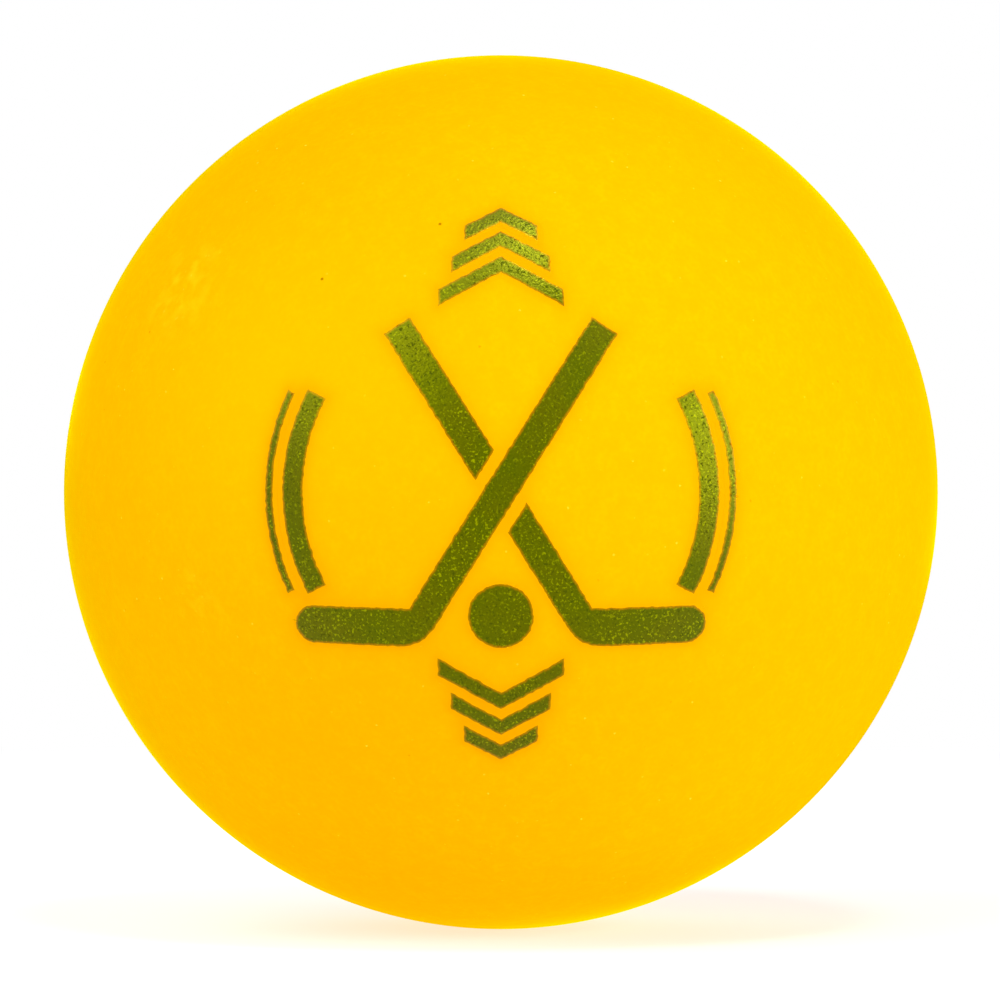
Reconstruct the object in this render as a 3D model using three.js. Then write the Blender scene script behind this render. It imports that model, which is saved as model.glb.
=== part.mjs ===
// Street hockey ball: a hollow ball of soft vinyl with a printed face.
//
// Two moulded half shells meet in a tongue and groove round the middle. They are welded there, which
// leaves a bead of squeezed-out vinyl on the inside. The print is a set of thin patches of ink.
//
// Millimetres, +Z up, origin at the centre of the ball. The printed face looks along -Y, so the halves
// meet in the plane y = 0, and every turned piece is turned about Y.

import * as THREE from "three";
import { mergeVertices } from "three/addons/utils/BufferGeometryUtils.js";

// The hollow ball
const ballDiameter = 65;
const wallThickness = 4.5;
const seamChamfer = 0.2;

// The joint round the middle
const tongueWidth = 1.5;
const tongueHeight = 1.6;
const tongueTaper = 0.2;
const jointClearance = 0.1;
const beadWidth = 2.4;
const beadHeight = 0.9;

// The ink, and the least space between two patches of it
const inkThickness = 0.1;
const inkStandOff = 0.06;
const inkSpacing = 0.8;

// The printed emblem, in millimetres along the surface: two crossed sticks, with a ball between the blades
const stickLean = THREE.MathUtils.degToRad(32);
const shaftWidth = 2.2;
const shaftRise = 14;
const bladeDrop = 11;
const bladeLength = 8;
const bladeWidth = 2.8;
const heelRounding = 1.6;
const ballMarkRadius = 2.3;

// Stacked chevrons above and below the sticks, and curved bars at their sides
const chevronCount = 3;
const chevronHalfWidth = 4.5;
const chevronNarrowing = 0.9;
const chevronSlope = THREE.MathUtils.degToRad(30);
const chevronThickness = 1.3;
const sideBarWidth = 1.6;
const sideLineWidth = 0.6;

// How finely round shapes are divided
const turnSegments = 56;
const outerSteps = 13;
const innerSteps = 7;
const beadSteps = 5;
const toeSteps = 5;
const heelSteps = 4;
const ballMarkSteps = 14;
const sideBarSteps = 14;
const inkCell = 2.4;

const quarterTurn = Math.PI / 2;
const outerRadius = ballDiameter / 2;
const innerRadius = outerRadius - wallThickness;
const midWallRadius = outerRadius - wallThickness / 2;
const seamLatitude = Math.asin(seamChamfer / outerRadius);
const beadLatitude = Math.asin(beadWidth / 2 / innerRadius);

const vinylLook = { color: 0xffc800, roughness: 0.62, metalness: 0 };
const weldLook = { color: 0xf5bd08, roughness: 0.5, metalness: 0 };
const inkLook = { color: 0x696f06, roughness: 0.42, metalness: 0 };

const ball = new THREE.Group();

function addPiece(name, geometry, look) {
  const piece = new THREE.Mesh(geometry, new THREE.MeshStandardMaterial(look));
  piece.name = name;
  ball.add(piece);
}

// Evenly spaced values from one end to the other, both included.
function spread(from, to, steps) {
  return Array.from({ length: steps + 1 }, (_, step) => THREE.MathUtils.lerp(from, to, step / steps));
}

// Points of a circle about the origin, from one angle to another.
function arc(radius, fromAngle, toAngle, steps) {
  return spread(fromAngle, toAngle, steps).map(
    (angle) => new THREE.Vector2(radius * Math.cos(angle), radius * Math.sin(angle)),
  );
}

// The tongue's outline, from its outer foot to its inner one. With a clearance it is the groove's.
function tongueOutline(clearance) {
  const foot = tongueWidth / 2 + clearance;
  const tip = foot - tongueTaper;
  const depth = tongueHeight + clearance;
  return [
    new THREE.Vector2(midWallRadius + foot, 0),
    new THREE.Vector2(midWallRadius + tip, -depth),
    new THREE.Vector2(midWallRadius - tip, -depth),
    new THREE.Vector2(midWallRadius - foot, 0),
  ];
}

function turned(profile) {
  return new THREE.LatheGeometry(profile, turnSegments);
}

function frontHalf() {
  return turned([
    ...arc(outerRadius, -quarterTurn, -seamLatitude, outerSteps),
    new THREE.Vector2(outerRadius - seamChamfer, 0),
    ...tongueOutline(jointClearance),
    new THREE.Vector2(innerRadius, 0),
    ...arc(innerRadius, -beadLatitude, -quarterTurn, innerSteps),
  ]);
}

function rearHalf() {
  return turned([
    ...arc(innerRadius, quarterTurn, beadLatitude, innerSteps),
    new THREE.Vector2(innerRadius, 0),
    ...tongueOutline(0).reverse(),
    new THREE.Vector2(outerRadius - seamChamfer, 0),
    ...arc(outerRadius, seamLatitude, quarterTurn, outerSteps),
  ]);
}

// The bead lies on the inside wall, and is rounded towards the middle of the ball.
function weldBead() {
  const seat = innerRadius * Math.cos(beadLatitude) - jointClearance;
  const rounded = spread(quarterTurn, -quarterTurn, beadSteps).map(
    (angle) => new THREE.Vector2(seat - beadHeight * Math.cos(angle), (beadWidth / 2) * Math.sin(angle)),
  );
  return turned([...rounded, rounded[0]]);
}

// A patch of the print is a strip: a row of stations, each a point on its left edge and one on its right,
// in millimetres right and up on the flat print. A reflected strip keeps its left on the left.
function reflected(strip, acrossWay, upWay) {
  const way = new THREE.Vector2(acrossWay, upWay);
  return strip.map(([left, right]) => {
    const ends = [left.clone().multiply(way), right.clone().multiply(way)];
    return acrossWay * upWay > 0 ? ends : ends.reverse();
  });
}

// The same strip with stations added wherever two are further apart than a cell.
function divided(strip) {
  const [first, ...rest] = strip;
  return rest.reduce((stations, [left, right]) => {
    const [lastLeft, lastRight] = stations.at(-1);
    const length = Math.max(left.distanceTo(lastLeft), right.distanceTo(lastRight));
    const steps = Math.ceil(length / inkCell);
    const added = spread(0, 1, steps).slice(1).map((part) => [
      lastLeft.clone().lerp(left, part),
      lastRight.clone().lerp(right, part),
    ]);
    return [...stations, ...added];
  }, [first]);
}

// A strip laid on the front of the ball as a film. Distances from the middle of the print are kept along
// the surface.
function inkFilm(strip) {
  const stations = divided(strip);
  const widest = Math.max(...stations.map(([left, right]) => left.distanceTo(right)));
  const cellsAcross = Math.ceil(widest / inkCell);
  const lastStation = stations.length - 1;
  const film = new THREE.BoxGeometry(1, 1, inkThickness, cellsAcross, lastStation);
  const points = film.getAttribute("position");
  const flat = new THREE.Vector2();
  for (let i = 0; i < points.count; i += 1) {
    const [left, right] = stations[Math.round((points.getY(i) + 1 / 2) * lastStation)];
    flat.lerpVectors(left, right, points.getX(i) + 1 / 2);
    const radius = outerRadius + inkStandOff + inkThickness / 2 + points.getZ(i);
    const turn = flat.length() / outerRadius;
    flat.setLength(radius * Math.sin(turn));
    points.setXYZ(i, flat.x, -radius * Math.cos(turn), flat.y);
  }
  film.deleteAttribute("normal");
  film.deleteAttribute("uv");
  const closed = mergeVertices(film);
  closed.computeVertexNormals();
  return closed;
}

// A point on the print, along the shaft of the stick that leans right, and across it away from its blade.
function onStick(along, across) {
  return new THREE.Vector2(
    along * Math.sin(stickLean) + across * Math.cos(stickLean),
    along * Math.cos(stickLean) - across * Math.sin(stickLean),
  );
}

// How far along the shaft one of its edges comes to a height on the print.
function alongAtHeight(height, across) {
  return (height + across * Math.sin(stickLean)) / Math.cos(stickLean);
}

// How far along the shaft an edge stops to leave space for the other stick, above the crossing or below.
function alongAtCrossing(way, across) {
  const clear = shaftWidth / 2 + inkSpacing;
  return (way * clear - across * Math.cos(2 * stickLean)) / Math.sin(2 * stickLean);
}

const toeRadius = bladeWidth / 2;
const heelAlong = alongAtHeight(-bladeDrop, shaftWidth / 2);
const heel = onStick(heelAlong, shaftWidth / 2);

function shaftStation(alongAt) {
  const edge = shaftWidth / 2;
  return [onStick(alongAt(-edge), -edge), onStick(alongAt(edge), edge)];
}

// A stick from its round toe along the level blade, round the heel and up to an end of its shaft.
function bladedStrip(upperEnd) {
  const edge = shaftWidth / 2;
  const heelEnd = onStick(heelAlong + heelRounding, edge);
  const heelStart = new THREE.Vector2(heel.x - heelRounding, heel.y);
  const heelCurve = new THREE.QuadraticBezierCurve(heelStart, heel, heelEnd);
  const throat = onStick(alongAtHeight(bladeWidth - bladeDrop, -edge), -edge);
  const toeCentre = new THREE.Vector2(heel.x - bladeLength, heel.y + toeRadius);
  const toe = spread(2 * quarterTurn, quarterTurn, toeSteps).map((angle) => {
    const upper = new THREE.Vector2(toeRadius * Math.cos(angle), toeRadius * Math.sin(angle));
    const lower = new THREE.Vector2(upper.x, -upper.y);
    return [upper.add(toeCentre), lower.add(toeCentre)];
  });
  const bend = heelCurve.getPoints(heelSteps).map((point) => [throat, point]);
  return [...toe, ...bend, shaftStation(upperEnd)];
}

// The ball lies between the heels of the sticks, level with the blades.
function ballMarkStrip() {
  const centre = new THREE.Vector2(0, ballMarkRadius - bladeDrop);
  return arc(ballMarkRadius, -quarterTurn, quarterTurn, ballMarkSteps).map((point) => [
    new THREE.Vector2(-point.x, point.y).add(centre),
    point.add(centre),
  ]);
}

// A chevron of a stack that points up, starting at a height on the print.
function chevronStrip(start, order) {
  const slope = Math.tan(chevronSlope);
  const width = chevronHalfWidth - order * chevronNarrowing;
  const apex = start + slope * chevronHalfWidth + order * (chevronThickness + inkSpacing);
  const foot = apex - slope * width;
  return [[-width, foot], [0, apex], [width, foot]].map(([across, height]) => [
    new THREE.Vector2(across, height + chevronThickness),
    new THREE.Vector2(across, height),
  ]);
}

// A curved bar to the right of the crossing, ending a space short of the blade's level.
function sideBarStrip(radius, width) {
  const span = Math.asin((bladeDrop - bladeWidth - inkSpacing) / (radius + width));
  const outer = arc(radius + width, -span, span, sideBarSteps);
  return arc(radius, -span, span, sideBarSteps).map((point, i) => [point, outer[i]]);
}

addPiece("front_half_shell", frontHalf(), vinylLook);
addPiece("rear_half_shell", rearHalf(), vinylLook);
addPiece("weld_bead", weldBead(), weldLook);

const shaftTop = shaftStation(() => shaftRise);
const overStick = bladedStrip(() => shaftRise);
const underBlade = bladedStrip((across) => alongAtCrossing(-1, across));
const underShaft = [shaftStation((across) => alongAtCrossing(1, across)), shaftTop];
addPiece("ink_stick_over", inkFilm(overStick), inkLook);
addPiece("ink_stick_under_blade", inkFilm(reflected(underBlade, -1, 1)), inkLook);
addPiece("ink_stick_under_shaft", inkFilm(reflected(underShaft, -1, 1)), inkLook);
addPiece("ink_ball_mark", inkFilm(ballMarkStrip()), inkLook);

const upperStart = shaftTop[0].y + inkSpacing;
const lowerStart = bladeDrop + inkSpacing;
for (let order = 0; order < chevronCount; order += 1) {
  const upper = chevronStrip(upperStart, order);
  const lower = reflected(chevronStrip(lowerStart, order), 1, -1);
  addPiece(`ink_upper_chevron_${order + 1}`, inkFilm(upper), inkLook);
  addPiece(`ink_lower_chevron_${order + 1}`, inkFilm(lower), inkLook);
}

// The side bars stand over the tips of the blades.
const toeReach = bladeLength + toeRadius - heel.x;
const sideBarRadius = toeReach - sideBarWidth / 2;
const sideBar = sideBarStrip(sideBarRadius, sideBarWidth);
const sideLine = sideBarStrip(sideBarRadius + sideBarWidth + inkSpacing, sideLineWidth);
for (const [name, way] of [["left", -1], ["right", 1]]) {
  addPiece(`ink_${name}_bar`, inkFilm(reflected(sideBar, way, 1)), inkLook);
  addPiece(`ink_${name}_line`, inkFilm(reflected(sideLine, way, 1)), inkLook);
}

export default ball;
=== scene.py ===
"""Looks for the street hockey ball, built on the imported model. Metres, +Z up, printed face along -Y."""

import math

import bmesh
import bpy
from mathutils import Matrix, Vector, bvhtree, geometry, kdtree, noise


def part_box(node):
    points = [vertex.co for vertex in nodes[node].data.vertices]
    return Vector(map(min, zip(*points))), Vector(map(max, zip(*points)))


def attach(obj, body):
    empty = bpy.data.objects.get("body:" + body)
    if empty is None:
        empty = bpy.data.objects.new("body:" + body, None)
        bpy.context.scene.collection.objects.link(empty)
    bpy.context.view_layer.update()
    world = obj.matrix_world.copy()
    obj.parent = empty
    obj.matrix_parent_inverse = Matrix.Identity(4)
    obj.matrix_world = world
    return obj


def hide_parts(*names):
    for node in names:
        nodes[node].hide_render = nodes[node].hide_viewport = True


MM = 0.001

# The photo, the ball in it and the marks on its face, in pixels
FRAME_PX = 1000
MIDDLE_PX = Vector((FRAME_PX / 2, FRAME_PX / 2))
BALL_CENTRE_PX = Vector((500.87, 492.23))
BALL_RADIUS_PX = 437.03
# Where a painted highlight lies: a paler patch where a lamp's broad gloss falls
PAINTED_HIGHLIGHT_PX = Vector((268, 380))
DARK_SPECKS_PX = (Vector((322, 279)), Vector((440, 224)))
LARGE_DUST_PX = Vector((184, 285))
SMALL_DUST_PX = Vector((200, 606))

# Camera, in millimetres
LENS = 200
SENSOR = 36
SLOPE_PER_PX = SENSOR / LENS / FRAME_PX

# Light: the world and the lit floor as shares of white, softboxes in watts, and lengths in metres. The
# floor glows more under the ball, where its shade would leave the vinyl dark.
WORLD_LEVEL = 0.24
FLOOR_GLOW = 0.4
FLOOR_GLOW_UNDER = 0.65
FLOOR_GLOW_SEEN = 0.56
UNDER_START = 0.008
UNDER_END = 0.022
SOFTBOX_DISTANCE = 1.0
SOFTBOXES = {
    "top_softbox": {"way": Vector((0.135, -0.425, 0.895)), "size": 0.18, "watts": 2.3},
    "right_softbox": {"way": Vector((0.88, -0.45, 0.05)), "size": 0.95, "watts": 10.7},
    "left_softbox": {"way": Vector((-0.58, -0.5, 0.66)), "size": 0.9, "watts": 6.0},
    "back_softbox": {"way": Vector((-0.05, 0.95, 0.25)), "size": 1.2, "watts": 7.0},
}
FLOOR_HALF_WIDTH = 3.0
FLOOR_FADE_START = 0.12
FLOOR_FADE_END = 0.3

# The joint round the middle, in millimetres. The tongue is the solids' own.
TONGUE_WIDTH = 1.5
TONGUE_TAPER = 0.2
TONGUE_CLEARANCE = 0.1
SEAM_CHAMFER = 0.2
SEAM_UNEVENNESS = 0.09
TRIM_HALF_WIDTH = 0.9
TRIM_DEPTH = 0.03
TRIM_LINE_DEPTH = 0.008
TRIM_STEPS = 7
UNEVENNESS_PER_MM = 0.55
BEAD_UNEVENNESS = 0.3
SCRAPE_STRETCH = Vector((0.12, 1, 0.12))

# The poles of the halves: distances from the pole and depths, in millimetres. The vinyl went into the mould
# of the rear half at its pole.
SMOOTH_POLE = ((0.0, 0.0), (0.5, 0.0))
GATE_MARK = ((0.0, 0.12), (0.45, 0.12), (0.6, 0.32), (1.2, 0.32), (1.5, 0.1), (1.9, 0.0))

# How finely shapes are divided, the least angle of a sharp edge, and how close points are merged, in metres
TURNS = 256
OUTER_RINGS = 128
INNER_RINGS = 24
BEAD_STEPS = 12
INK_CUTS = 11
SHARP_EDGE = math.radians(40)
SAME_POINT = 1e-6

# The map through which a half is baked, and the middle and reach of each disc on it, as shares of its width
BAKE_MAP = "OFBake"
OUTSIDE_DISC = (0.361, 0.355)
INSIDE_DISC = (0.774, 0.22)

# The film of ink, in millimetres above the vinyl and along it, and the seed that fixes its ragged edge
INK_LOW = 0.004
INK_HIGH = 0.03
INK_EDGE_ROUNDING = 0.12
INK_RAGGEDNESS = 0.07
INK_RAGS_PER_MM = 3.0
INK_RAGS_SEED = 1
BORDER_WIDTH = 0.38
BORDER_HEIGHT = 0.002
INK_THIN_WIDTH = 0.2
INK_THIN_UNEVENNESS = 0.04

# How the ink has bled into the vinyl, in millimetres from the ink
STAIN_FALL = 0.5
STAIN_END = 2.5

# Marks on the vinyl, and a painted highlight: how far each is even and how far it fades, in millimetres,
# and its strength
PAINTED_HIGHLIGHT = (1.0, 15.0, 0.5)
LARGE_DUST = (1.5, 5.0, 0.7)
SMALL_DUST = (1.5, 3.0, 0.4)
DARK_SPECK_SIZE = (0.05, 0.16)
# The gate mark's hollow is darker: partly dirt, partly painted shade
GATE_DIRT_AND_SHADE = (0.9, 1.7, 0.4)
# The seam's groove is darker: partly dirt, partly painted shade
SEAM_DIRT_AND_SHADE_WIDTH = (0.05, 0.25)
SEAM_DIRT_AND_SHADE_LEAST = 0.5
TRIM_BLUR = 0.1

# Specks: their spacing and radius in millimetres, and the share of places that have one
GRIT = {"spacing": 0.5, "radius": 0.11, "share": 0.4}
PALE_SPECKS = {"spacing": 1.1, "radius": 0.11, "share": 0.6}
DIRT_SPECKS = {"spacing": 1.7, "radius": 0.11, "share": 0.3}
WELD_SPECKS = {"spacing": 0.9, "radius": 0.12, "share": 0.5}
SPECK_RAGGEDNESS = 2.0

# Grain: how many lumps of it there are to a millimetre, or to a metre on the floor
CLOUDS_PER_MM = 0.06
MOTTLE_PER_MM = 0.8
FINE_PER_MM = 2.6
DUST_PER_MM = 0.7
SCRAPES_PER_MM = 6.0
WELD_LUMPS_PER_MM = 0.7
WELD_FINE_PER_MM = 3.0
INK_PATCHES_PER_MM = 0.3
INK_CROWDS_PER_MM = 0.22
INK_FINE_PER_MM = 5.5
# Painted glints: light flecks in the ink, where its facets catch a lamp
PAINTED_GLINTS_PER_MM = 6.0
INK_PITS_PER_MM = 5.1
FIBRES_PER_M = 900

# The values of a grain, which lie about a half, between which a look changes
WIDE_SPAN = (0.3, 0.7)
CLOSE_SPAN = (0.35, 0.65)
DUST_SPAN = (0.48, 0.7)
SCRAPE_SPAN = (0.4, 0.65)
SEAM_DIRT_AND_SHADE_SPAN = (0.3, 0.6)
INK_CROWD_SPAN = (0.4, 0.6)
INK_LIGHT_SPAN = (0.4, 0.75)
PAINTED_GLINT_SPAN = (0.56, 0.72)
INK_PIT_SPAN = (0.57, 0.68)

# How strongly a grain shows, as a share of the colour that it brings
MOTTLE_SHARE = 0.65
FINE_SHARE = 0.7
INK_LIGHT_SHARE = 0.4
# How strongly the painted glints show, where they crowd least and most
PAINTED_GLINT_SHARES = (0.4, 1.0)

# Depths of bumps, in millimetres
MOTTLE_DEPTH = 0.012
FINE_DEPTH = 0.006
WELD_LUMP_DEPTH = 0.06
WELD_FINE_DEPTH = 0.01
INK_DEPTH = 0.027

# Roughness, and the gloss of the ink
VINYL_ROUGHNESS = (0.58, 0.7)
TRIM_POLISH = 0.16
SHEEN_ROUGHNESS = 0.2
WELD_ROUGHNESS = (0.3, 0.5)
INK_ROUGHNESS = (0.3, 0.36)
INK_PIT_ROUGHNESS = 0.55
INK_IOR = 1.55
FLOOR_ROUGHNESS = 0.9

# Colours, linear
VINYL = (1.0, 0.53, 0.0, 1.0)
VINYL_DEEP = (1.0, 0.49, 0.0, 1.0)
VINYL_PALE = (1.0, 0.55, 0.0, 1.0)
# The colour of a painted highlight
VINYL_PAINTED_HIGHLIGHT = (1.0, 0.58, 0.0, 1.0)
VINYL_STAINED = (1.0, 0.425, 0.0, 1.0)
VINYL_TRIMMED = (1.0, 0.6, 0.01, 1.0)
VINYL_SPECK = (1.0, 0.74, 0.03, 1.0)
DUST = (1.0, 0.64, 0.004, 1.0)
DIRT = (0.9, 0.36, 0.0, 1.0)
DARK_SPECK = (0.45, 0.16, 0.0, 1.0)
# Dirt and painted shade, in the seam's groove and in the gate mark's hollow
SEAM_DIRT_AND_SHADE = (0.72, 0.33, 0.0, 1.0)
WELD = (0.95, 0.5, 0.002, 1.0)
WELD_DEEP = (0.84, 0.4, 0.0, 1.0)
INK_GREEN = (0.012, 0.028, 0.0, 1.0)
INK_OLIVE = (0.026, 0.026, 0.0, 1.0)
INK_LIGHT = (0.06, 0.08, 0.0, 1.0)
# The colour of a painted glint
PAINTED_INK_GLINT = (0.25, 0.28, 0.0, 1.0)
INK_THIN = (0.46, 0.14, 0.0, 1.0)
VINYL_GLINT = (1.0, 1.0, 0.0, 1.0)
INK_GLINT = (0.95, 1.0, 0.0, 1.0)
FLOOR = (0.62, 0.62, 0.62, 1.0)
FLOOR_DULL = (0.6, 0.6, 0.6, 1.0)
WHITE = (1.0, 1.0, 1.0, 1.0)

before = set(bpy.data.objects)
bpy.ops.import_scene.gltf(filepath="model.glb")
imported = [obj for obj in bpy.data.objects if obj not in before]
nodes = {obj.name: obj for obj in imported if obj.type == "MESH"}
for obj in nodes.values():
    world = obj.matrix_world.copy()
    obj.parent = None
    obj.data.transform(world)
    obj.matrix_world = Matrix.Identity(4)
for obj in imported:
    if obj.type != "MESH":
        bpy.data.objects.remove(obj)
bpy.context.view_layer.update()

# Sizes of the solids, in millimetres
ball_radius = -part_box("front_half_shell")[0].y / MM
inner_radius = min(v.co.length for v in nodes["front_half_shell"].data.vertices) / MM
tongue_height = -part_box("rear_half_shell")[0].y / MM
bead_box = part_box("weld_bead")
bead_seat = bead_box[1].x / MM
bead_half_width = bead_box[1].y / MM
bead_height = bead_seat - min(v.co.xz.length for v in nodes["weld_bead"].data.vertices) / MM

# The camera is level with the ball, from where the ball covers the photo's circle.
distance = ball_radius / math.sin(math.atan(BALL_RADIUS_PX * SLOPE_PER_PX))
aside = (BALL_CENTRE_PX - MIDDLE_PX) * SLOPE_PER_PX * distance
eye = Vector((-aside.x, -distance, aside.y))


def new_object(name, bm, *materials):
    mesh = bpy.data.meshes.new(name)
    bmesh.ops.recalc_face_normals(bm, faces=bm.faces)
    bm.to_mesh(mesh)
    bm.free()
    for material in materials:
        mesh.materials.append(material)
    mesh.shade_smooth()
    mesh.set_sharp_from_angle(angle=SHARP_EDGE)
    piece = bpy.data.objects.new(name, mesh)
    bpy.context.scene.collection.objects.link(piece)
    return piece


def add(tree, kind, inputs=(), **settings):
    """A node of that kind. Its inputs are set to values or linked to other sockets."""
    made = tree.nodes.new(kind)
    for name, value in settings.items():
        setattr(made, name, value)
    for name, value in dict(inputs).items():
        if isinstance(value, bpy.types.NodeSocket):
            tree.links.new(value, made.inputs[name])
        else:
            made.inputs[name].default_value = value
    return made


def new_material(name):
    material = bpy.data.materials.new(name)
    material.use_nodes = True
    return material, material.node_tree, material.node_tree.nodes["Principled BSDF"]


def millimetres(tree):
    """Where a point is on the object, in millimetres."""
    inputs = {0: add(tree, "ShaderNodeTexCoord").outputs["Object"], "Scale": 1 / MM}
    return add(tree, "ShaderNodeVectorMath", inputs, operation="SCALE").outputs["Vector"]


def grain(tree, place, scale, detail=2.0):
    inputs = {"Vector": place, "Scale": scale, "Detail": detail}
    return add(tree, "ShaderNodeTexNoise", inputs).outputs["Fac"]


def ramp(tree, value, low, high, low_to=0.0, high_to=1.0):
    inputs = {"Value": value, "From Min": low, "From Max": high, "To Min": low_to, "To Max": high_to}
    return add(tree, "ShaderNodeMapRange", inputs).outputs["Result"]


def mix(tree, share, a, b):
    factor, first, second, blended = 0, 6, 7, 2
    inputs = {factor: share, first: a, second: b}
    return add(tree, "ShaderNodeMix", inputs, data_type="RGBA").outputs[blended]


def maths(tree, operation, *values):
    return add(tree, "ShaderNodeMath", enumerate(values), operation=operation).outputs["Value"]


def specks(tree, place, spacing, radius, share):
    """Ragged specks, faint and bright, on a share of the places that are about a spacing apart."""
    stir = add(tree, "ShaderNodeTexNoise", {"Vector": place, "Scale": 1 / radius}).outputs["Color"]
    inputs = {0: stir, 1: Vector((1, 1, 1)) * SPECK_RAGGEDNESS * radius, 2: place}
    place = add(tree, "ShaderNodeVectorMath", inputs, operation="MULTIPLY_ADD").outputs["Vector"]
    cells = add(tree, "ShaderNodeTexVoronoi", {"Vector": place, "Scale": 1 / spacing}).outputs
    near = ramp(tree, cells["Distance"], radius / spacing, radius / spacing / 2)
    lots = add(tree, "ShaderNodeSeparateColor", {"Color": cells["Color"]}).outputs
    strength = maths(tree, "MULTIPLY", maths(tree, "LESS_THAN", lots["Red"], share), lots["Green"])
    return maths(tree, "MULTIPLY", near, strength)


def spot(tree, place, centre, core, reach, strength=1.0):
    """A strength within a core about a point, fading to nothing at its reach."""
    inputs = {0: place, 1: centre}
    gap = add(tree, "ShaderNodeVectorMath", inputs, operation="DISTANCE").outputs["Value"]
    return ramp(tree, gap, core, reach, strength, 0)


def bump(tree, height, depth, normal=None):
    inputs = {"Height": height, "Distance": depth * MM, "Strength": 1.0}
    if normal:
        inputs["Normal"] = normal
    return add(tree, "ShaderNodeBump", inputs).outputs["Normal"]


def on_ball(pixel):
    """The point of the ball's face that the photo shows at a pixel, in millimetres."""
    aside = (pixel - MIDDLE_PX) * SLOPE_PER_PX
    view = Vector((aside.x, 1, -aside.y))
    crossings = geometry.intersect_line_sphere(eye, eye + view, Vector(), ball_radius, False)
    return min(crossings, key=lambda point: point.y)


def vinyl_material():
    material, tree, bsdf = new_material("vinyl")
    place = millimetres(tree)
    clouds = grain(tree, place, CLOUDS_PER_MM)
    mottle = grain(tree, place, MOTTLE_PER_MM, detail=3)
    fine = grain(tree, place, FINE_PER_MM, detail=3)

    colour = mix(tree, ramp(tree, clouds, *WIDE_SPAN), VINYL, VINYL_PALE)
    colour = mix(tree, ramp(tree, mottle, *CLOSE_SPAN, 0, MOTTLE_SHARE), colour, VINYL_DEEP)
    colour = mix(tree, ramp(tree, fine, *CLOSE_SPAN, 0, FINE_SHARE), colour, VINYL_DEEP)
    # A painted highlight: the vinyl is made paler on the upper left, where a lamp's broad gloss falls
    colour = mix(tree, spot(tree, place, on_ball(PAINTED_HIGHLIGHT_PX), *PAINTED_HIGHLIGHT), colour, VINYL_PAINTED_HIGHLIGHT)
    dust = ramp(tree, grain(tree, place, DUST_PER_MM, detail=4), *DUST_SPAN)
    grit = specks(tree, place, **GRIT)
    for pixel, extent in ((LARGE_DUST_PX, LARGE_DUST), (SMALL_DUST_PX, SMALL_DUST)):
        patch = spot(tree, place, on_ball(pixel), *extent)
        colour = mix(tree, maths(tree, "MULTIPLY", patch, dust), colour, DUST)
        colour = mix(tree, maths(tree, "MULTIPLY", patch, grit), colour, VINYL_SPECK)
    colour = mix(tree, specks(tree, place, **PALE_SPECKS), colour, VINYL_SPECK)
    colour = mix(tree, specks(tree, place, **DIRT_SPECKS), colour, DIRT)
    for pixel in DARK_SPECKS_PX:
        colour = mix(tree, spot(tree, place, on_ball(pixel), *DARK_SPECK_SIZE), colour, DARK_SPECK)
    stained = add(tree, "ShaderNodeAttribute", attribute_name="stain").outputs["Fac"]
    colour = mix(tree, stained, colour, VINYL_STAINED)

    from_seam = maths(tree, "ABSOLUTE", add(tree, "ShaderNodeSeparateXYZ", {0: place}).outputs["Y"])
    trimmed = ramp(tree, from_seam, TRIM_HALF_WIDTH - TRIM_BLUR, TRIM_HALF_WIDTH + TRIM_BLUR, 1, 0)
    along = add(tree, "ShaderNodeVectorMath", {0: place, 1: SCRAPE_STRETCH}, operation="MULTIPLY")
    scrapes = ramp(tree, grain(tree, along.outputs["Vector"], SCRAPES_PER_MM), *SCRAPE_SPAN)
    colour = mix(tree, maths(tree, "MULTIPLY", trimmed, scrapes), colour, VINYL_TRIMMED)
    # The seam's groove is made darker, in patches: partly dirt, partly painted shade where the joint is
    # shaded
    seam_dirt_and_shade = ramp(tree, from_seam, *SEAM_DIRT_AND_SHADE_WIDTH, 1, 0)
    patchy = ramp(tree, mottle, *SEAM_DIRT_AND_SHADE_SPAN, SEAM_DIRT_AND_SHADE_LEAST, 1)
    colour = mix(tree, maths(tree, "MULTIPLY", seam_dirt_and_shade, patchy), colour, SEAM_DIRT_AND_SHADE)
    # The gate mark's hollow is made darker: partly dirt, partly painted shade
    gate = Vector((0, ball_radius, 0))
    colour = mix(tree, spot(tree, place, gate, *GATE_DIRT_AND_SHADE), colour, SEAM_DIRT_AND_SHADE)
    tree.links.new(colour, bsdf.inputs["Base Color"])

    roughness = ramp(tree, mottle, *WIDE_SPAN, *VINYL_ROUGHNESS)
    roughness = maths(tree, "SUBTRACT", roughness, maths(tree, "MULTIPLY", trimmed, TRIM_POLISH))
    tree.links.new(roughness, bsdf.inputs["Roughness"])
    bsdf.inputs["Specular IOR Level"].default_value = 0.0
    bsdf.inputs["Sheen Weight"].default_value = 1.0
    bsdf.inputs["Sheen Roughness"].default_value = SHEEN_ROUGHNESS
    bsdf.inputs["Sheen Tint"].default_value = VINYL_GLINT
    normal = bump(tree, fine, FINE_DEPTH, bump(tree, mottle, MOTTLE_DEPTH))
    tree.links.new(normal, bsdf.inputs["Normal"])
    return material


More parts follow.
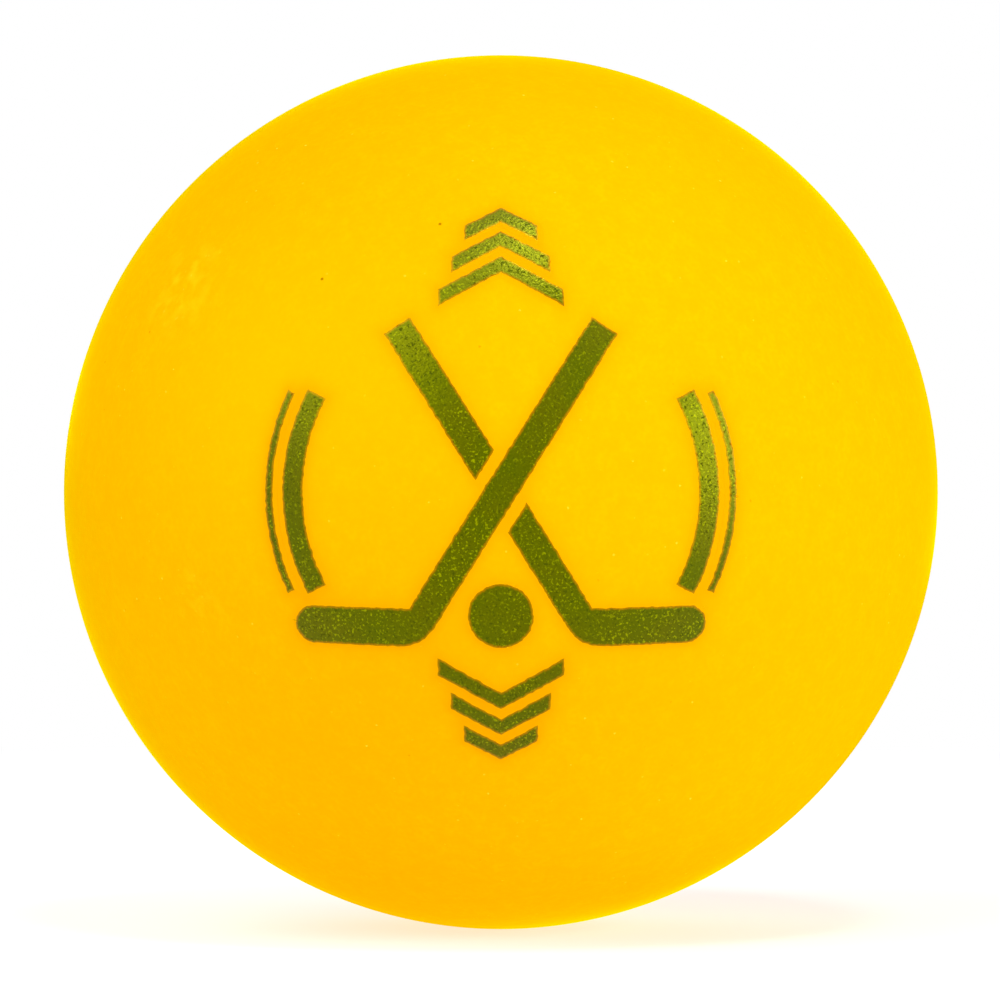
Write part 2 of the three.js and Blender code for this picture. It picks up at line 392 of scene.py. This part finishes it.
def weld_material():
    material, tree, bsdf = new_material("weld")
    place = millimetres(tree)
    lumps = grain(tree, place, WELD_LUMPS_PER_MM, detail=3)
    fine = grain(tree, place, WELD_FINE_PER_MM)
    colour = mix(tree, ramp(tree, lumps, *WIDE_SPAN), WELD_DEEP, WELD)
    colour = mix(tree, specks(tree, place, **WELD_SPECKS), colour, VINYL_SPECK)
    tree.links.new(colour, bsdf.inputs["Base Color"])
    tree.links.new(ramp(tree, lumps, *WIDE_SPAN, *WELD_ROUGHNESS), bsdf.inputs["Roughness"])
    bsdf.inputs["Specular Tint"].default_value = VINYL_GLINT
    normal = bump(tree, fine, WELD_FINE_DEPTH, bump(tree, lumps, WELD_LUMP_DEPTH))
    tree.links.new(normal, bsdf.inputs["Normal"])
    return material


def ink_material():
    material, tree, bsdf = new_material("ink")
    place = millimetres(tree)
    from_edge = add(tree, "ShaderNodeAttribute", attribute_name="from_edge").outputs["Fac"]
    patches = grain(tree, place, INK_PATCHES_PER_MM)
    fine = grain(tree, place, INK_FINE_PER_MM)

    colour = mix(tree, ramp(tree, patches, *CLOSE_SPAN), INK_GREEN, INK_OLIVE)
    colour = mix(tree, ramp(tree, fine, *INK_LIGHT_SPAN, 0, INK_LIGHT_SHARE), colour, INK_LIGHT)
    # Painted glints: light flecks in the ink where its facets catch a lamp, crowded in places
    crowding = ramp(tree, grain(tree, place, INK_CROWDS_PER_MM), *INK_CROWD_SPAN, *PAINTED_GLINT_SHARES)
    painted_glints = ramp(tree, grain(tree, place, PAINTED_GLINTS_PER_MM, detail=1), *PAINTED_GLINT_SPAN)
    colour = mix(tree, maths(tree, "MULTIPLY", painted_glints, crowding), colour, PAINTED_INK_GLINT)
    uneven = ramp(tree, fine, *WIDE_SPAN, -INK_THIN_UNEVENNESS, INK_THIN_UNEVENNESS)
    uneven_edge = maths(tree, "ADD", from_edge, uneven)
    colour = mix(tree, ramp(tree, uneven_edge, 0, INK_THIN_WIDTH, 1, 0), colour, INK_THIN)
    tree.links.new(colour, bsdf.inputs["Base Color"])

    pits = grain(tree, place, INK_PITS_PER_MM, detail=1)
    roughness = ramp(tree, patches, *WIDE_SPAN, *INK_ROUGHNESS)
    roughness = maths(tree, "ADD", roughness, ramp(tree, pits, *INK_PIT_SPAN, 0, INK_PIT_ROUGHNESS))
    tree.links.new(roughness, bsdf.inputs["Roughness"])
    bsdf.inputs["IOR"].default_value = INK_IOR
    bsdf.inputs["Specular IOR Level"].default_value = 1.0
    bsdf.inputs["Specular Tint"].default_value = INK_GLINT
    normal = bump(tree, fine, INK_DEPTH)
    tree.links.new(normal, bsdf.inputs["Normal"])
    return material


def seen_directly(tree):
    """One for the rays that show the background, none for those that light the ball."""
    path = add(tree, "ShaderNodeLightPath").outputs
    seen = maths(tree, "MAXIMUM", path["Is Camera Ray"], path["Is Glossy Ray"])
    return maths(tree, "MAXIMUM", seen, path["Is Transmission Ray"])


def floor_material():
    """Pale paper that fades to the white of the backdrop away from the ball."""
    material, tree, bsdf = new_material("floor")
    place = add(tree, "ShaderNodeTexCoord").outputs["Object"]
    fibres = grain(tree, place, FIBRES_PER_M, detail=3)
    tree.links.new(mix(tree, fibres, FLOOR_DULL, FLOOR), bsdf.inputs["Base Color"])
    bsdf.inputs["Roughness"].default_value = FLOOR_ROUGHNESS
    bsdf.inputs["Specular IOR Level"].default_value = 0.0
    bsdf.inputs["Emission Color"].default_value = WHITE
    away = add(tree, "ShaderNodeVectorMath", {0: place}, operation="LENGTH").outputs["Value"]
    glow = ramp(tree, away, UNDER_START, UNDER_END, FLOOR_GLOW_UNDER, FLOOR_GLOW)
    glow = ramp(tree, seen_directly(tree), 0, 1, glow, FLOOR_GLOW_SEEN)
    tree.links.new(glow, bsdf.inputs["Emission Strength"])
    fade = ramp(tree, away, FLOOR_FADE_START, FLOOR_FADE_END)
    backdrop = add(tree, "ShaderNodeEmission", {"Color": WHITE, "Strength": 1.0})
    shown = maths(tree, "MULTIPLY", fade, seen_directly(tree))
    blend = add(tree, "ShaderNodeMixShader", {0: shown, 1: bsdf.outputs[0], 2: backdrop.outputs[0]})
    tree.links.new(blend.outputs[0], tree.nodes["Material Output"].inputs["Surface"])
    return material


def half_map(profile):
    """Where a half's corners lie on its bake map: its outside and its inside are discs, cut at the rim."""
    along = [0.0]
    for here, there in zip(profile, profile[1:]):
        along.append(along[-1] + math.dist(here[:2], there[:2]))
    rim = next(i for i, point in enumerate(profile) if point[1] == 0)

    def place(strip, ring, turn):
        outside = strip < rim
        middle, reach = OUTSIDE_DISC if outside else INSIDE_DISC
        pole = 0.0 if outside else along[-1]
        share = reach * (along[ring] - pole) / (along[rim] - pole)
        angle = 2 * math.pi * turn / TURNS
        # Seen from its own side, neither disc is mirrored
        mirror = 1 if outside == (profile[0][1] < 0) else -1
        return middle + mirror * share * math.cos(angle), middle + share * math.sin(angle)

    return place


def turned(name, profile, material, on_map=None):
    """A piece turned about Y. The profile's points are a radius, a height and how unevenly they turn."""
    bm = bmesh.new()
    bake_map = bm.loops.layers.uv.new(BAKE_MAP) if on_map else None
    rings = []
    for radius, height, unevenness in profile:
        lift = Vector((0, height, 0))
        if radius == 0:
            rings.append([bm.verts.new(lift * MM)])
            continue
        ring = []
        for k in range(TURNS):
            angle = 2 * math.pi * k / TURNS
            way = Vector((math.cos(angle), 0, math.sin(angle)))
            shift = unevenness * noise.noise((way * radius + lift) * UNEVENNESS_PER_MM)
            ring.append(bm.verts.new((way * (radius + shift) + lift) * MM))
        rings.append(ring)
    for i in range(len(rings) - 1):
        for k in range(TURNS):
            after = (k + 1) % TURNS
            # A pole is a ring of one point, where a face has only three corners
            corners = {}
            for ring, turn in ((i, k), (i, after), (i + 1, after), (i + 1, k)):
                corners.setdefault(rings[ring][turn % len(rings[ring])], (ring, turn))
            face = bm.faces.new(corners)
            if on_map:
                for corner in face.loops:
                    corner[bake_map].uv = on_map(i, *corners[corner.vert])
    bmesh.ops.remove_doubles(bm, verts=bm.verts, dist=SAME_POINT)
    return new_object(name, bm, material)


def outside_height(radius):
    return math.sqrt(ball_radius * ball_radius - radius * radius)


def shell_profile(pole_marks, tongue_way, clearance):
    """A half from the outside of its pole, over its rim to the inside. Heights are from the rim."""
    points = [(radius, outside_height(radius) - depth, 0) for radius, depth in pole_marks]
    first = math.asin(points[-1][0] / ball_radius)
    last = math.pi / 2 - TRIM_HALF_WIDTH / ball_radius
    for i in range(1, OUTER_RINGS + 1):
        angle = first + (last - first) * i / OUTER_RINGS
        points.append((ball_radius * math.sin(angle), ball_radius * math.cos(angle), 0))
    for i in range(1, TRIM_STEPS + 1):
        height = TRIM_HALF_WIDTH + (SEAM_CHAMFER - TRIM_HALF_WIDTH) * i / TRIM_STEPS
        depth = TRIM_DEPTH + TRIM_LINE_DEPTH * (i % 2)
        points.append((outside_height(height) - depth, height, TRIM_DEPTH / 2))
    points.append((ball_radius - SEAM_CHAMFER, 0, SEAM_UNEVENNESS))
    middle = (ball_radius + inner_radius) / 2
    foot = TONGUE_WIDTH / 2 + clearance
    tip = foot - TONGUE_TAPER
    reach = tongue_way * (tongue_height + clearance)
    points += [(middle + foot, 0, 0), (middle + tip, reach, 0)]
    points += [(middle - tip, reach, 0), (middle - foot, 0, 0)]
    for i in range(INNER_RINGS):
        angle = math.pi / 2 * i / INNER_RINGS
        points.append((inner_radius * math.cos(angle), inner_radius * math.sin(angle), 0))
    points.append((0, inner_radius, 0))
    return points


def bead_profile():
    """The bead that the weld squeezed out, flat on the wall and round towards the middle."""
    points = []
    for i in range(BEAD_STEPS + 1):
        angle = math.pi * (i / BEAD_STEPS - 1 / 2)
        rounding = math.cos(angle)
        radius = bead_seat - bead_height * rounding
        points.append((radius, bead_half_width * math.sin(angle), BEAD_UNEVENNESS * rounding))
    return [*points, points[0]]


def way_out(v):
    """The way out of an open surface at a point on its rim, along the surface."""
    way = Vector()
    for edge in v.link_edges:
        if edge.is_boundary:
            a, b = (end.co for end in edge.verts)
            inward = edge.link_faces[0].calc_center_median() - (a + b) / 2
            way -= (inward - inward.project(b - a)).normalized()
    return way.normalized()


def ink_piece(node, ink, vinyl):
    """A patch of ink on its solid's outline: a ragged film with rounded edges and a border of vinyl."""
    bm = bmesh.new()
    bm.from_mesh(nodes[node].data)
    bmesh.ops.remove_doubles(bm, verts=bm.verts, dist=SAME_POINT)
    middle = (min(v.co.length for v in bm.verts) + max(v.co.length for v in bm.verts)) / 2
    bmesh.ops.delete(bm, geom=[v for v in bm.verts if v.co.length < middle], context="VERTS")
    bmesh.ops.subdivide_edges(bm, edges=bm.edges, cuts=INK_CUTS, use_grid_fill=True)
    from_edge = bm.verts.layers.float.new("from_edge")
    rim = [v for v in bm.verts if v.is_boundary]
    nearest = kdtree.KDTree(len(rim))
    for i, v in enumerate(rim):
        v.co += noise.noise_vector(v.co / MM * INK_RAGS_PER_MM) * INK_RAGGEDNESS * MM
        nearest.insert(v.co, i)
    nearest.balance()

    for v in bm.verts:
        v[from_edge] = nearest.find(v.co)[2] / MM
    ways = {v: way_out(v) for v in rim}
    border = bmesh.ops.extrude_edge_only(bm, edges=[edge for edge in bm.edges if edge.is_boundary])["geom"]
    for face in (part for part in border if isinstance(part, bmesh.types.BMFace)):
        face.material_index = 1
    for v in (part for part in border if isinstance(part, bmesh.types.BMVert)):
        inner = next(edge.other_vert(v) for edge in v.link_edges if edge.other_vert(v) in ways)
        v.co += ways[inner] * BORDER_WIDTH * MM
        v[from_edge] = -BORDER_WIDTH

    for v in bm.verts:
        rise = min(1, (v[from_edge] / INK_EDGE_ROUNDING + 1) / 2)
        height = INK_LOW + max(BORDER_HEIGHT, (INK_HIGH - INK_LOW) * rise)
        v.co = v.co.normalized() * (ball_radius + height) * MM
    under = bmesh.ops.extrude_face_region(bm, geom=list(bm.faces))["geom"]
    for v in under:
        if isinstance(v, bmesh.types.BMVert):
            v.co = v.co.normalized() * (ball_radius + INK_LOW) * MM
    return new_object(f"{node}_film", bm, ink, vinyl)


def inked_faces(film):
    """The faces of a patch that carry ink, without its border of vinyl, ready to be searched."""
    mesh = film.data
    faces = [face.vertices for face in mesh.polygons if face.material_index == 0]
    return bvhtree.BVHTree.FromPolygons([v.co for v in mesh.vertices], faces)


def mark_stain(piece, patches):
    """Marks how much ink has bled into a piece at each point, from every patch near it."""
    marks = piece.data.attributes.new("stain", "FLOAT", "POINT").data
    for v, mark in zip(piece.data.vertices, marks):
        gaps = (patch.find_nearest(v.co, STAIN_END * MM)[3] for patch in patches)
        mark.value = min(1, sum(math.exp(-gap / MM / STAIN_FALL) for gap in gaps if gap is not None))


def dress(piece, node):
    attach(piece, "root")
    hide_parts(node)


def softbox(name, way, size, watts):
    light = bpy.data.lights.new(name, "AREA")
    light.size = size
    light.energy = watts
    lamp = bpy.data.objects.new(name, light)
    lamp.location = way.normalized() * SOFTBOX_DISTANCE
    lamp.rotation_euler = way.to_track_quat("Z", "Y").to_euler()
    bpy.context.scene.collection.objects.link(lamp)


def floor():
    w = FLOOR_HALF_WIDTH
    mesh = bpy.data.meshes.new("floor")
    mesh.from_pydata([(-w, -w, 0), (w, -w, 0), (w, w, 0), (-w, w, 0)], [], [(0, 1, 2, 3)])
    mesh.materials.append(floor_material())
    piece = bpy.data.objects.new("floor", mesh)
    piece.location.z = -ball_radius * MM
    bpy.context.scene.collection.objects.link(piece)


def studio_world():
    world = bpy.data.worlds.new("studio")
    world.use_nodes = True
    tree = world.node_tree
    background = tree.nodes["Background"]
    background.inputs["Color"].default_value = WHITE
    level = ramp(tree, seen_directly(tree), 0, 1, WORLD_LEVEL, 1.0)
    tree.links.new(level, background.inputs["Strength"])
    bpy.context.scene.world = world


def photo_camera():
    lens = bpy.data.cameras.new("camera")
    lens.lens = LENS
    lens.sensor_width = SENSOR
    camera = bpy.data.objects.new("camera", lens)
    camera.location = eye * MM
    camera.rotation_euler.x = math.pi / 2
    bpy.context.scene.collection.objects.link(camera)
    bpy.context.scene.camera = camera


vinyl = vinyl_material()
ink = ink_material()
front = shell_profile(SMOOTH_POLE, 1, TONGUE_CLEARANCE)
front = [(radius, -height, unevenness) for radius, height, unevenness in front]
front_shell = turned("front_half_shell_vinyl", front, vinyl, half_map(front))
dress(front_shell, "front_half_shell")
rear = shell_profile(GATE_MARK, -1, 0)
dress(turned("rear_half_shell_vinyl", rear, vinyl, half_map(rear)), "rear_half_shell")
dress(turned("weld_bead_vinyl", bead_profile(), weld_material()), "weld_bead")
noise.seed_set(INK_RAGS_SEED)
films = {node: ink_piece(node, ink, vinyl) for node in sorted(nodes) if node.startswith("ink_")}
for node, film in films.items():
    dress(film, node)
patches = [inked_faces(film) for film in films.values()]
for piece in (front_shell, *films.values()):
    mark_stain(piece, patches)

floor()
for name, lamp in SOFTBOXES.items():
    softbox(name, **lamp)
studio_world()
photo_camera()
bpy.context.scene.view_settings.view_transform = "Standard"
